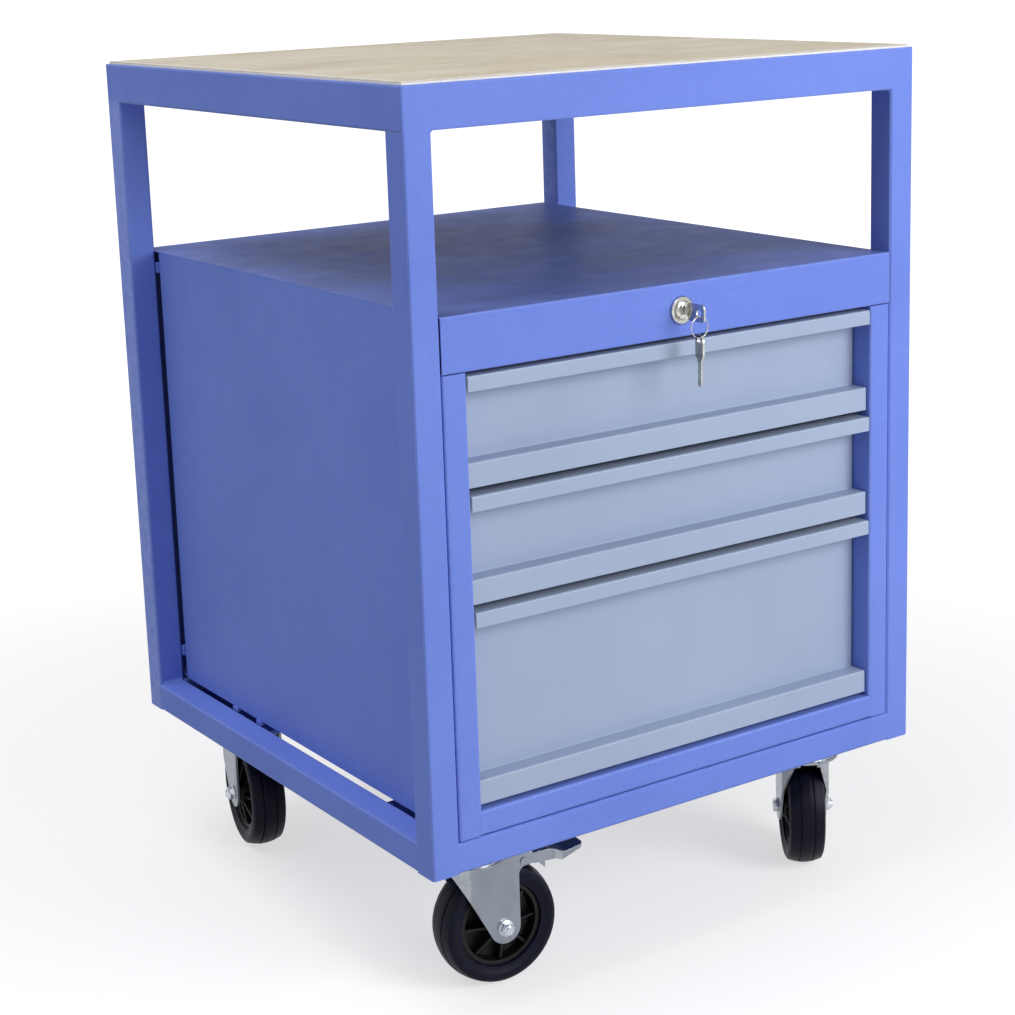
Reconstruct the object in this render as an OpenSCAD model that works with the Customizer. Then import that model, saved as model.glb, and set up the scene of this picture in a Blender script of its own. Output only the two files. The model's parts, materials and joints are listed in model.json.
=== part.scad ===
// Mobile workshop bench: a welded tube frame on four swivel castors, a plywood top,
// an open bay, and a sheet steel cabinet with three drawers and one central lock.
// Millimetres. The origin is on the floor in the middle of the footprint, which takes in
// the key that stands out in front, +Z is up, and the drawers open towards -Y.

/* [Frame] */
// Width over the frame
frame_w = 600; // [560:10:800]
// Depth over the frame
frame_d = 610; // [600:10:800]
// Height of the frame, from the underside of the bottom rails to the rim of the top angles
frame_h = 727; // [650:1:900]
// Side of the square tube
tube = 30; // [25:1:35]
// Wall of the square tube
tube_wall = 2; // [1.5:0.5:3]
// Outer corner radius of the square tube
tube_r = 3; // [2:0.5:3]
// Leg of the angle iron round the top
angle_leg = 40; // [38:1:45]
// Thickness of the angle iron
angle_t = 3; // [2.5:0.5:4]
// Radius of the weld fillets in the frame's inner corners
weld_r = 4.5; // [3:0.5:6]

/* [Worktop] */
// Thickness of the plywood
top_t = 40; // [38:1:50]
// Clearance between the plywood and the angle iron
top_gap = 0.4; // [0.3:0.1:0.9]
// Diameter of the hole in the angle for a worktop screw
screw_hole_d = 6.6; // [6:0.1:8]
// Distance of the screws from the frame's outer faces
screw_inset = 21; // [20:1:24]
// Distance of the screws from the frame's corners
screw_corner = 130; // [100:5:200]

/* [Cabinet] */
// Thickness of the cabinet's sheet
sheet = 1.5; // [1:0.25:2]
// Inner radius of the cabinet's bends
bend_r = 1.2; // [1:0.1:2]
// Gap between the cabinet and the posts' inner faces
cab_gap = 0.8; // [0.5:0.1:0.9]
// Gap between the bottom rail and the cabinet's front
seat_gap = 1.5; // [0.5:0.1:2]
// Gap between the bottom rail and the side panels
panel_lift = 4; // [3:0.5:8]
// Gap between the side panels and the back posts
panel_gap = 5; // [3:0.5:8]
// Width of the stiles beside the drawers
stile_w = 25.2; // [22:0.2:30]
// Depth of the stiles' inner faces
stile_d = 33; // [28:1:36]
// Height of the sill below the drawers
sill_h = 23.8; // [20:0.2:30]
// Height of the folded front of the shelf
fascia_h = 52.5; // [48:0.5:70]
// Width of the folded edges at the back and on the fascia
flange = 15; // [10:1:20]
// Width of the channels that carry the slides
upright_w = 28; // [24:1:36]

/* [Drawers] */
// Height of the top drawer's front
front_h_1 = 104; // [100:1:130]
// Height of the middle drawer's front
front_h_2 = 103; // [100:1:130]
// Height of the bottom drawer's front
front_h_3 = 187.5; // [120:0.5:200]
// Gap above the top front
gap_top = 4; // [3:0.5:6]
// Gap between two fronts
gap_mid = 6.6; // [4:0.1:9]
// Gap below the bottom front
gap_low = 4.5; // [4:0.5:8]
// Gap between a front and the stiles
gap_side = 1.3; // [1:0.1:3]
// Depth of the grip behind the upper lip
grip_d = 25; // [22:1:28]
// Height of the upper lip
lip_h = 14.5; // [12:0.5:18]
// Height of the lower lip
foot_h = 23.5; // [18:0.5:28]
// Set-back of the lower lip from the upper one
foot_back = 5; // [2:0.5:8]
// Thickness of the drawers' sheet
drawer_t = 1; // [0.8:0.1:1.2]
// Room behind the trays, for the locking bar and the lock's shaft
rear_room = 84; // [80:1:160]
// Gap between a front's bottom edge and its tray
tray_lift = 5; // [4:0.5:8]
// Gap between a front's top edge and its tray
tray_drop = 16; // [14:1:24]
// Width of the folded rim of a tray
tray_rim = 7; // [5:0.5:10]

/* [Slides] */
// Height of the outer slide member
slide_h = 45; // [40:1:46]
// Width taken by one slide
slide_w = 13; // [12.5:0.1:14]
// Thickness of the slide members
slide_t = 1.2; // [1:0.1:1.5]
// Sliding clearance between two members
slide_gap = 0.3; // [0.2:0.05:0.4]

/* [Lock] */
// Diameter of the lock's bezel
bezel_d = 27.5; // [24:0.5:30]
// Height of the bezel in front of the fascia
bezel_h = 4; // [3:0.5:6]
// Diameter of the threaded barrel
barrel_d = 20; // [19:0.5:22]
// Length of the barrel behind the fascia's front
barrel_l = 22; // [18:1:30]
// Diameter of the turning plug
plug_d = 15; // [14:0.5:15.5]
// Running clearance of the plug and of the shaft, in the radius
turn_gap = 0.05; // [0.02:0.01:0.1]
// Diameter of the shaft that works the locking bar
shaft_d = 8; // [6:0.5:10]
// Throw of the crank, the travel of the locking bar
crank_r = 8; // [6:0.5:9]
// Width of the locking bar
bar_w = 20; // [16:1:26]
// Thickness of the locking bar
bar_t = 3; // [2:0.5:4]
// Diameter of the key ring
ring_d = 24.6; // [22:0.1:28]
// Thickness of the key ring's wire
ring_wire = 1.6; // [1.4:0.1:1.8]
// Thickness of the key
key_t = 2; // [1.6:0.1:2.2]
// Distance of the key's hole from the front
key_out = 27; // [25:0.5:32]
// Diameter of the key's hole
key_hole_d = 7; // [6.5:0.1:8]
// Distance of the hole from the key's end
hole_edge = 8; // [7:0.5:9]
// Length of the key's bow
bow_l = 25; // [23:0.5:28]
// Width of the key's bow
bow_w = 17; // [15:0.5:20]
// Length of the key's blade
blade_l = 27; // [22:0.5:28]
// Width of the key's blade
blade_w = 7.4; // [6:0.1:8]

/* [Castors] */
// Height from the floor to the underside of the frame
castor_h = 156; // [150:1:165]
// Diameter of the wheel
wheel_d = 125; // [110:1:130]
// Width of the tyre
wheel_w = 39; // [30:0.5:42]
// Distance from the swivel axis to the wheel's axis
trail = 26.5; // [22:0.5:34]
// Distance of a swivel axis from the frame's side
castor_x = 82.5; // [80:0.5:110]
// Distance of a swivel axis from the frame's front or back
castor_y = 71.5; // [70:0.5:100]
// Length of the castor's top plate
plate_l = 105; // [100:1:110]
// Width of the castor's top plate
plate_w = 85; // [80:1:90]
// Thickness of the castor's top plate
plate_t = 3.5; // [3:0.5:5]
// Spacing of the bolts along the plate
bolt_x = 80; // [76:1:84]
// Spacing of the bolts across the plate
bolt_y = 60; // [56:1:64]
// Diameter of the plate's bolt holes
bolt_hole_d = 9; // [8.5:0.1:10]
// Side of the corner plates, from the frame's outer face
corner_l = 180; // [160:1:200]
// Thickness of the corner plates
corner_t = 5; // [4:0.5:6]
// Thickness of the fork's sheet
fork_t = 3; // [2.5:0.1:3.5]
// Gap between the tyre and a fork leg
fork_gap = 3; // [2.75:0.25:6]
// Radius of the fork round the axle
boss_r = 16.5; // [14:0.5:18]
// Diameter of the king pin
king_d = 12; // [10:0.5:14]
// Diameter of the axle bolt
axle_d = 8; // [8:0.5:11]
// Outer diameter of the spacer tube that the wheel turns on
spacer_d = 13; // [12:0.5:17]

/* [Hidden] */
$fn = 48;
wheels = ["front_left", "front_right", "back_left", "back_right"];

paint = "#6F83DC";
paint_grey = "#A9B4CF";
zinc = "#B9BEC4";
nickel = "#C9C7BE";
rubber = "#23242A";
plastic = "#17181B";

// Levels of the frame
hx = frame_w / 2;
hy = frame_d / 2;
z_frame = castor_h;
z_rail = z_frame + tube;
z_rim = z_frame + frame_h;
z_post = z_rim - angle_leg;
z_board = z_post + angle_t;

// The cabinet stands between the posts, and its drawers stack up to the shelf
cab_x = hx - tube - cab_gap;
open_x = cab_x - stile_w;
z_cab = z_rail + seat_gap;
z_panel = z_rail + panel_lift;
z_open = z_cab + sill_h;
front_h = [front_h_1, front_h_2, front_h_3];
z_low_3 = z_open + gap_low;
z_low_2 = z_low_3 + front_h_3 + gap_mid;
z_low_1 = z_low_2 + front_h_2 + gap_mid;
z_low = [z_low_1, z_low_2, z_low_3];
z_fascia = z_low_1 + front_h_1 + gap_top;
z_shelf = z_fascia + fascia_h;
y_front = -hy;
y_panel_end = hy - tube - panel_gap;
seam = 0.3;
// The sill runs up to the flat of the stiles, beside their bends
sill_x = open_x + bend_r + sheet;

// The drawer fronts, trays and slides
front_x = open_x - gap_side;
y_plate = y_front + grip_d;
y_tray = y_plate + drawer_t;
tray_x = open_x - slide_w;
tray_l = hy - rear_room - y_tray;
y_slide_end = y_tray + tray_l;

// The lock sits in the middle of the fascia
z_lock = z_fascia + fascia_h / 2;
hanger_gap = 4;
hanger_t = 2;
bar_room = 12;
y_hanger = y_slide_end + hanger_gap;
y_bar = y_hanger + hanger_t + bar_room;
crank_t = 3;
crank_w = 9;
pin_d = 5;
pin_slack = 2;
bar_low = z_open + 22;
catch_w = 16;
catch_t = 1.5;
catch_drop = 6;
catch_lip = 9;
catch_x = bar_w / 2 + 4;
catch_reach = y_bar + bar_t + 6 - y_slide_end;
finger_h = 10;
finger_drop = 1.5;
key_hole_y = y_front - key_out;
ring_r = (ring_d - ring_wire) / 2;
// How far one solid of a node reaches into the next, so that they are one piece
bite = 0.5;

// Castors: the trail's direction of each one, as they stand
trail_angle = [-6, 56, -101, 200];
castor_at = [[-1, -1], [1, -1], [-1, 1], [1, 1]];
z_axle = wheel_d / 2;
fork_in = wheel_w / 2 + fork_gap;
fork_out = fork_in + fork_t;
z_plate = castor_h - plate_t;
dish_h = 8;
z_cup = z_plate - dish_h - 0.3;
cup_h = 9;
z_crown = z_cup - cup_h - fork_t;
z_pin = z_crown - 3.3;
head_r = 36;
leg_bend = -9;
leg_turn_in = 14;
ear_x = trail + 32;
ear_z = z_crown - 10;
pedal_pivot = [trail + 22, z_crown - 5.2];
pedal_pin_d = 6;
hub_r = 13;
rim_r = 43;

// A point at an angle on a circle
function polar(c, r, a) = [c[0] + r * cos(a), c[1] + r * sin(a)];
// Points along an arc
function arc(c, r, a0, a1, n = 6) = [for (i = [0:n]) polar(c, r, a0 + (a1 - a0) * i / n)];
// Where the tangent from a point touches a circle; side is 1 or -1
function tangent_angle(p, c, r, side) =
    atan2(p[1] - c[1], p[0] - c[0]) + side * acos(r / norm(p - c));

function unit(v) = v / norm(v);
function right_of(v) = [v[1], -v[0]];
function turned(v, a) = [v[0] * cos(a) - v[1] * sin(a), v[0] * sin(a) + v[1] * cos(a)];
function bend_angle(a, b) = atan2(a[0] * b[1] - a[1] * b[0], a * b);

// One bend of a folded sheet: the arc of one face round a corner of the path.
// away is the distance of that face from the path, 0 or the sheet's thickness.
function bend_face(p, d1, d2, t, r, away, n = 4) =
    let (phi = bend_angle(d1, d2),
         s = phi > 0 ? 1 : -1,
         path_r = s > 0 ? r : r + t,
         start = p - d1 * path_r * tan(abs(phi) / 2),
         centre = start - s * right_of(d1) * path_r,
         face_r = path_r + s * away)
    [for (i = [0:n]) centre + s * face_r * turned(right_of(d1), phi * i / n)];

// The outline of a folded sheet: its one face follows the path, and the sheet lies
// on the right-hand side of it
function folded(path, t, r) =
    let (last = len(path) - 1,
         dir = [for (i = [0:last - 1]) unit(path[i + 1] - path[i])],
         face = function (away)
             concat([path[0] + right_of(dir[0]) * away],
                    [for (i = [1:last - 1]) each bend_face(path[i], dir[i - 1], dir[i], t, r, away)],
                    [path[last] + right_of(dir[last - 1]) * away]),
         far = face(t))
    concat(face(0), [for (i = [len(far) - 1:-1:0]) far[i]]);

// A square with four round corners, made of true arcs
module round_square(x, y, r) {
    for (side = [[x - 2 * r, y], [x, y - 2 * r]]) square(side, center = true);
    for (i = [-1, 1], j = [-1, 1]) translate([i * (x / 2 - r), j * (y / 2 - r)]) circle(r);
}

// A profile in Y and Z, run along X about the middle
module along_x(length) {
    rotate([90, 0, 90]) linear_extrude(length, center = true) children();
}

// A profile in X and Z, run along Y from y0 to y1
module along_y(y0, y1) {
    translate([0, y1, 0]) rotate([90, 0, 0]) linear_extrude(y1 - y0) children();
}

// The same shape on the left and on the right
module both_sides() {
    for (side = [0, 1]) mirror([side, 0, 0]) children();
}

// Square tube

module tube_profile() {
    difference() {
        round_square(tube, tube, tube_r);
        round_square(tube - 2 * tube_wall, tube - 2 * tube_wall, tube_r - tube_wall + 0.5);
    }
}

module post(i, j) {
    color(paint) translate([i * (hx - tube / 2), j * (hy - tube / 2), z_frame])
        linear_extrude(z_post - z_frame) tube_profile();
}

module rail_x(j) {
    color(paint) translate([0, j * (hy - tube / 2), z_frame + tube / 2])
        along_x(frame_w - 2 * tube) tube_profile();
}

module rail_y(i) {
    color(paint) translate([i * (hx - tube / 2), 0, z_frame + tube / 2])
        along_y(-hy + tube, hy - tube) tube_profile();
}

// What the weld fills where a rail meets the rounded edges of a post, ground flush
module ground_fill() {
    difference() {
        translate([0, 0, z_frame + tube / 2]) rotate([90, 0, 90])
            linear_extrude(tube_r) round_square(tube, tube, tube_r);
        translate([tube / 2, 0, z_frame - 1]) linear_extrude(tube + 2)
            round_square(tube + 0.1, tube + 0.1, tube_r + 0.05);
    }
}

// Angle iron round the worktop, mitred at its corners

module screw_places() {
    for (i = [-1, 1], j = [-1, 1]) {
        translate([i * (hx - screw_inset), j * (hy - screw_corner), 0]) children();
        translate([i * (hx - screw_corner), j * (hy - screw_inset), 0]) children();
    }
}

module top_angle(turn) {
    half = turn % 180 == 0 ? hx : hy;
    deep = turn % 180 == 0 ? hy : hx;
    color(paint) difference() {
        rotate([0, 0, turn]) intersection() {
            translate([0, -deep, z_post]) along_x(2 * half)
                polygon([[0, 0], [angle_leg, 0], [angle_leg, angle_t], [angle_t, angle_t],
                         [angle_t, angle_leg], [0, angle_leg]]);
            translate([0, -deep, z_post]) linear_extrude(angle_leg)
                polygon([[-half, 0], [half, 0], [half - angle_leg, angle_leg],
                         [-half + angle_leg, angle_leg]]);
            translate([0, 0, z_post]) linear_extrude(angle_leg)
                round_square(2 * half, 2 * deep, tube_r);
        }
        screw_places() translate([0, 0, z_post - 1]) cylinder(d = screw_hole_d, h = angle_t + 2);
    }
}

// Weld fillets in the frame's inner corners, and the short beads that hold the cabinet

module corner_fillet(length) {
    linear_extrude(length, center = true) difference() {
        square(weld_r);
        translate([weld_r, weld_r]) circle(weld_r);
    }
}

module bead(x, y, z) {
    intersection() {
        translate([-x / 2, -y / 2, -z / 2]) cube([x, y, z]);
        sphere(r = 0.62 * max(x, y, z));
    }
}

module weld_beads() {
    width = tube - 2 * tube_r;
    bead_l = 11;
    bead_w = 4;
    beads_z = [z_shelf - 18, z_panel + 32];
    beads_y = [0.24 * frame_d, 0.15 * frame_d];
    color(paint) {
        for (i = [-1, 1], j = [-1, 1]) mirror([i < 0 ? 1 : 0, 0, 0]) mirror([0, j < 0 ? 1 : 0, 0]) {
            translate([hx - tube, hy - tube / 2, 0]) ground_fill();
            translate([hx - tube / 2, hy - tube, 0]) rotate([0, 0, 90]) ground_fill();
            translate([hx - tube, hy - tube / 2, z_post]) rotate([90, 180, 0]) corner_fillet(width);
            translate([hx - tube / 2, hy - tube, z_post]) rotate([0, 90, 0])
                rotate([0, 0, -90]) corner_fillet(width);
            translate([hx - tube / 2, hy - tube, z_rail]) rotate([0, 90, 0])
                rotate([0, 0, 180]) corner_fillet(width);
        }
        both_sides() {
            for (z = beads_z) translate([cab_x - bite, hy - tube - panel_gap / 2, z])
                bead(bead_w, panel_gap, bead_l);
            for (y = beads_y) translate([cab_x - bite, y, z_rail + panel_lift / 2])
                bead(bead_w, bead_l, panel_lift);
        }
    }
}

// Corner plates that carry the castors, welded in flush with the frame's underside

module castor_place(k) {
    translate([castor_at[k][0] * (hx - castor_x), castor_at[k][1] * (hy - castor_y), 0]) children();
}

module bolt_places() {
    for (i = [-1, 1], j = [-1, 1]) translate([i * bolt_x / 2, j * bolt_y / 2, 0]) children();
}

module corner_plates() {
    a = corner_l;
    cut = 60;
    color(paint) for (k = [0:3]) difference() {
        mirror([castor_at[k][0] < 0 ? 1 : 0, 0, 0]) mirror([0, castor_at[k][1] < 0 ? 1 : 0, 0])
            translate([0, 0, z_frame]) linear_extrude(corner_t)
                polygon([[hx - tube, hy - tube], [hx - tube, hy - a], [hx - a + cut, hy - a],
                         [hx - a, hy - a + cut], [hx - a, hy - tube]]);
        castor_place(k) bolt_places()
            translate([0, 0, z_frame - 1]) cylinder(d = bolt_hole_d, h = corner_t + 2);
    }
}

// Worktop

pilot_d = 4.6;
pilot_l = 24;

module worktop() {
    x = hx - angle_t - top_gap;
    y = hy - angle_t - top_gap;
    edge = 1;
    color("#C6B797") difference() {
        translate([0, 0, z_board]) union() {
            linear_extrude(top_t - edge) square([2 * x, 2 * y], center = true);
            translate([0, 0, top_t - edge]) linear_extrude(edge)
                square([2 * (x - edge), 2 * (y - edge)], center = true);
        }
        screw_places() translate([0, 0, z_board - 1]) cylinder(d = pilot_d + 0.2, h = pilot_l + 1);
    }
}

module worktop_screws() {
    head_h = 3.5;
    color(zinc) screw_places() translate([0, 0, z_post - head_h]) difference() {
        union() {
            cylinder(d = 12, h = head_h);
            cylinder(d = pilot_d, h = head_h + angle_t + pilot_l - 2);
        }
        translate([0, 0, -1]) cylinder(d = 5.5, h = 3, $fn = 6);
    }
}

// Cabinet sheets

module cabinet_shelf() {
    color(paint) {
        difference() {
            along_x(2 * cab_x) polygon(folded(
                [[y_front + flange, z_fascia], [y_front, z_fascia], [y_front, z_shelf], [hy, z_shelf]],
                sheet, bend_r));
            lock_bore(barrel_d + 0.4);
        }
        shaft_hanger();
    }
}

module lock_bore(d) {
    translate([0, y_front - 1, z_lock]) rotate([-90, 0, 0]) cylinder(d = d, h = sheet + 2);
}

// A tab under the shelf that holds the back end of the lock's shaft
module shaft_hanger() {
    wide = 3 * shaft_d;
    foot = 12;
    difference() {
        translate([-wide / 2, 0, 0]) {
            translate([0, y_hanger, z_lock - wide / 2])
                cube([wide, hanger_t, z_shelf - sheet - z_lock + wide / 2 + bite]);
            translate([0, y_hanger - foot, z_shelf - sheet - hanger_t])
                cube([wide, foot + bite, hanger_t + bite]);
        }
        translate([0, y_hanger - 1, z_lock]) rotate([-90, 0, 0])
            cylinder(d = shaft_d + 2 * turn_gap, h = hanger_t + 2);
    }
}

// A side panel: the stile folds round the drawer opening, and two channels carry the slides
module cabinet_side() {
    top = z_shelf - sheet;
    face = cab_x - sheet;
    upright_y = [y_front + stile_d + 2, y_slide_end - upright_w - 10];
    color(paint) difference() {
        union() {
            translate([0, 0, z_cab]) linear_extrude(top - z_cab) polygon(folded(
                [[cab_x - flange, y_panel_end], [cab_x, y_panel_end], [cab_x, y_front],
                 [open_x, y_front], [open_x, y_front + stile_d]],
                sheet, bend_r));
            for (y = upright_y) translate([0, y, z_panel + sheet + 1])
                linear_extrude(z_fascia - z_panel - sheet - 2) polygon([
                    [face + bite, 0], [open_x, 0], [open_x, upright_w], [face + bite, upright_w],
                    [face + bite, upright_w - sheet], [open_x + sheet, upright_w - sheet],
                    [open_x + sheet, sheet], [face + bite, sheet]]);
        }
        // Above the stile the fascia takes over, and the panel stops behind it
        translate([0, y_front - 1, z_fascia - seam])
            cube([cab_x + 1, 1 + flange + seam, z_shelf - z_fascia + 1]);
        translate([0, y_front - 1, z_fascia + seam]) cube([cab_x - sheet - 1, stile_d + 2, fascia_h]);
        // Below, only the stile's front reaches down to the rail, and the sill runs up to it
        translate([0, y_front + stile_d + 0.5, z_cab - 1]) cube([cab_x + 1, frame_d, z_panel - z_cab + 1]);
        translate([0, y_front - 1, z_cab - 1]) cube([sill_x, stile_d + 2, z_open - z_cab + 1]);
        // The floor's edge passes inside the flange at the back
        translate([0, y_panel_end - flange, z_panel - 1]) cube([face, flange + 1, sheet + seam + 1]);
    }
}

module cabinet_back() {
    color(paint) {
        translate([0, 0, z_cab]) linear_extrude(z_shelf - sheet - z_cab) polygon(folded(
            [[-cab_x, hy - flange], [-cab_x, hy], [cab_x, hy], [cab_x, hy - flange]], sheet, bend_r));
        for (z = [z_low_3 + front_h_3 / 3, z_low_1 + 10]) bar_guide(z);
    }
}

// A bracket on the back panel that guides the locking bar
module bar_guide(z) {
    wide = 2 * bar_w;
    t = 2;
    slack = 0.3;
    reach = 6;
    foot = 16;
    difference() {
        translate([-wide / 2, y_bar - reach, z]) cube([wide, hy - sheet - y_bar + reach + bite, t]);
        translate([-bar_w / 2 - slack, y_bar - slack, z - 1])
            cube([bar_w + 2 * slack, bar_t + 2 * slack, t + 2]);
    }
    translate([-wide / 2, hy - sheet - t, z]) cube([wide, t + bite, foot]);
}

// The floor pan: a flat sheet with the sill folded up at its front
module cabinet_floor() {
    x = cab_x - sheet - seam;
    y = y_front + sheet + bend_r + seam;
    color(paint) {
        translate([-x, y, z_panel]) cube([2 * x, hy - sheet - 2 * seam - y, sheet]);
        translate([-sill_x + bite, y_front + sheet - bite, z_panel])
            cube([2 * (sill_x - bite), y - y_front - sheet + 2 * bite, sheet]);
        along_x(2 * sill_x) polygon(folded(
            [[y_front + flange, z_cab], [y_front, z_cab], [y_front, z_open], [y_front + flange, z_open]],
            sheet, bend_r));
    }
}

// Drawers; n counts from the top

function z_top(n) = z_low[n - 1] + front_h[n - 1];
function z_tray(n) = z_low[n - 1] + tray_lift;
function tray_h(n) = front_h[n - 1] - tray_lift - tray_drop;
function z_catch(n) = z_tray(n) + tray_h(n) - catch_drop;
function z_slide(n) = z_tray(n) + max(tray_h(n) / 2, slide_h / 2 + 4);

module drawer_front(n) {
    low = z_low[n - 1];
    high = z_top(n);
    y_foot = y_front + foot_back;
    color(paint_grey) along_x(2 * front_x) polygon(folded(
        [[y_front, high - lip_h], [y_front, high], [y_plate + drawer_t, high],
         [y_plate + drawer_t, low + foot_h - drawer_t], [y_foot + drawer_t, low + foot_h - drawer_t],
         [y_foot + drawer_t, low]],
        drawer_t, 0.8));
}

module drawer_tray(n) {
    h = tray_h(n);
    t = drawer_t;
    color(paint_grey) {
        translate([0, y_tray, z_tray(n)]) difference() {
            translate([-tray_x, 0, 0]) cube([2 * tray_x, tray_l, h]);
            translate([-tray_x + t, t, t]) cube([2 * (tray_x - t), tray_l - 2 * t, h - 2 * t]);
            translate([-tray_x + tray_rim, tray_rim, t])
                cube([2 * (tray_x - tray_rim), tray_l - 2 * tray_rim, h]);
        }
        catch(n);
    }
}

// The tab behind a tray that the locking bar holds when the lock is shut
module catch(n) {
    high = z_catch(n);
    translate([catch_x, y_slide_end - bite, high - catch_t]) cube([catch_w, catch_reach + bite, catch_t]);
    translate([catch_x, y_slide_end + catch_reach - catch_t, high - catch_lip])
        cube([catch_w, catch_t, catch_lip]);
}

// Slide members, nested: each one runs inside the flanges of the one outside it

module slide_profile(x0, x1, h, web_at) {
    translate([x0, h / 2 - slide_t]) square([x1 - x0, slide_t]);
    translate([x0, -h / 2]) square([x1 - x0, slide_t]);
    translate([web_at, -h / 2]) square([slide_t, h]);
}

module slide_member(n, x0, x1, h, web_at) {
    color(zinc) both_sides() translate([0, 0, z_slide(n)])
        along_y(y_tray, y_slide_end) slide_profile(x0, x1, h, web_at);
}

middle_h = slide_h - 2 * slide_t - 2 * slide_gap;
inner_h = middle_h - 2 * slide_t - 2 * slide_gap;

module slide_outer_members() {
    for (n = [1:3]) slide_member(n, tray_x + 3.4, open_x, slide_h, open_x - slide_t);
}

module slide_middle(n) {
    slide_member(n, tray_x + 2.2, open_x - slide_t - 1.2, middle_h, open_x - 2 * slide_t - 1.2);
}

module slide_inner(n) {
    slide_member(n, tray_x, open_x - 2 * slide_t - 1.8, inner_h, tray_x);
}

// Lock: everything here turns about a line along Y through the middle of the fascia

module on_lock_axis(y) {
    translate([0, y, z_lock]) rotate([-90, 0, 0]) children();
}

head_gap = 0.2;
plug_head_d = plug_d + 2.6;
plug_head_h = 3;

module lock_barrel() {
    nut_h = 4;
    flat = 27;
    color(nickel) {
        difference() {
            on_lock_axis(y_front - bezel_h) rotate_extrude() polygon([
                [plug_d / 2 + turn_gap, 0.8], [plug_head_d / 2 + head_gap, 0.8],
                [plug_head_d / 2 + 1.2, 0], [bezel_d / 2 - 2, 0], [bezel_d / 2 - 0.5, 1.2],
                [bezel_d / 2, bezel_h - 0.6], [bezel_d / 2, bezel_h], [barrel_d / 2, bezel_h],
                [barrel_d / 2, bezel_h + barrel_l], [plug_d / 2 + turn_gap, bezel_h + barrel_l]]);
            on_lock_axis(y_front - bezel_h - 1) cylinder(d = plug_head_d + 2 * head_gap, h = plug_head_h + 1);
        }
        on_lock_axis(y_front + sheet) difference() {
            cylinder(d = flat / cos(30), h = nut_h, $fn = 6);
            translate([0, 0, -1]) cylinder(d = barrel_d + 0.1, h = nut_h + 2);
        }
    }
}

key_slot = [2.6, 26, 8.6];
dome = 1.6;

// The plug and its shaft, with the crank at the shaft's back end, are one turning piece
module lock_plug() {
    proud = 1;
    head_y = y_front - bezel_h - proud;
    color(nickel) lock_shaft();
    color(nickel) difference() {
        union() {
            on_lock_axis(head_y) rotate_extrude() polygon(concat(
                [for (i = [0:5]) [plug_head_d / 10 * i, dome * i * i / 25]],
                [[plug_head_d / 2, proud + plug_head_h - head_gap], [0, proud + plug_head_h - head_gap]]));
            on_lock_axis(y_front - bezel_h + 1) cylinder(d = plug_d, h = bezel_h + barrel_l);
        }
        translate([-key_slot[0] / 2, head_y - 1, z_lock - key_slot[2] / 2]) cube(key_slot);
    }
}

// A key from its side: the hole is at the middle of the plane, and the blade points along +X
module key_outline() {
    notches = [2.5, 2, 3, 1.5, 2.5];
    blade_from = bow_l - hole_edge;
    corner = 4;
    difference() {
        union() {
            translate([-hole_edge + corner, -bow_w / 2]) square([bow_l - 2 * corner, bow_w]);
            translate([-hole_edge, -bow_w / 2 + corner]) square([bow_l, bow_w - 2 * corner]);
            for (x = [corner - hole_edge, blade_from - corner], s = [-1, 1])
                translate([x, s * (bow_w / 2 - corner)]) circle(corner);
            translate([blade_from - 1, -blade_w / 2]) polygon([
                [0, 0], [blade_l - 2, 0], [blade_l + 1, 3], [blade_l + 1, blade_w - 3],
                [blade_l - 2, blade_w], [0, blade_w]]);
        }
        circle(d = key_hole_d);
        for (i = [0:4]) translate([blade_from + 7 + i * 3.6, blade_w / 2 - notches[i] / 2])
            polygon([[-1.8, 3], [0, 0], [1.8, 3]]);
    }
}

module lock_key() {
    color(nickel) translate([-key_t / 2, key_hole_y, z_lock])
        rotate([90, 0, 90]) linear_extrude(key_t) key_outline();
}

module lock_shaft() {
    y0 = y_front + barrel_l + 1 - bite;
    y_crank = y_bar - crank_t - 1;
    collar_l = 6;
    on_lock_axis(y0) cylinder(d = shaft_d, h = y_crank - y0 + crank_t);
    on_lock_axis(y0) cylinder(d = plug_d - 1, h = collar_l);
    on_lock_axis(y_crank) linear_extrude(crank_t) {
        circle(d = shaft_d + 6);
        translate([-crank_r, -crank_w / 2]) square([crank_r, crank_w]);
        translate([-crank_r, 0]) circle(d = crank_w);
    }
    translate([-crank_r, 0, 0]) on_lock_axis(y_crank)
        cylinder(d = pin_d, h = crank_t + 1 + bar_t + 1.5);
}

// The locking bar: its slotted head sits on the crank, and a finger stands under each catch
module locking_bar() {
    slot_half = pin_d / 2 + pin_slack;
    rim = 6;
    head_left = crank_r + slot_half + rim;
    head_right = slot_half + rim;
    color(zinc) difference() {
        union() {
            translate([-bar_w / 2, y_bar, bar_low]) cube([bar_w, bar_t, z_lock - bar_low]);
            translate([-head_left, y_bar, z_lock - slot_half - rim])
                cube([head_left + head_right, bar_t, 2 * (slot_half + rim)]);
            for (n = [1:3])
                translate([0, y_bar, z_catch(n) - catch_lip - finger_drop - finger_h])
                    cube([catch_x + catch_w - 3, bar_t, finger_h]);
        }
        along_y(y_bar - 1, y_bar + bar_t + 1) translate([-crank_r, z_lock]) {
            translate([0, -slot_half]) square([crank_r, 2 * slot_half]);
            circle(slot_half);
            translate([crank_r, 0]) circle(slot_half);
        }
    }
}

// The ring hangs on the lower edge of the key's hole, in the plane of X and Z
ring_slack = 0.25;
ring_hang = sqrt(pow(ring_r - ring_wire / 2, 2) - pow(key_t / 2, 2));
z_ring = z_lock - key_hole_d / 2 - ring_hang + ring_slack;

module key_ring() {
    color(nickel) translate([0, key_hole_y, z_ring]) rotate([90, 0, 0])
        rotate_extrude() translate([ring_r, 0]) circle(d = ring_wire);
}

// Castors

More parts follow.
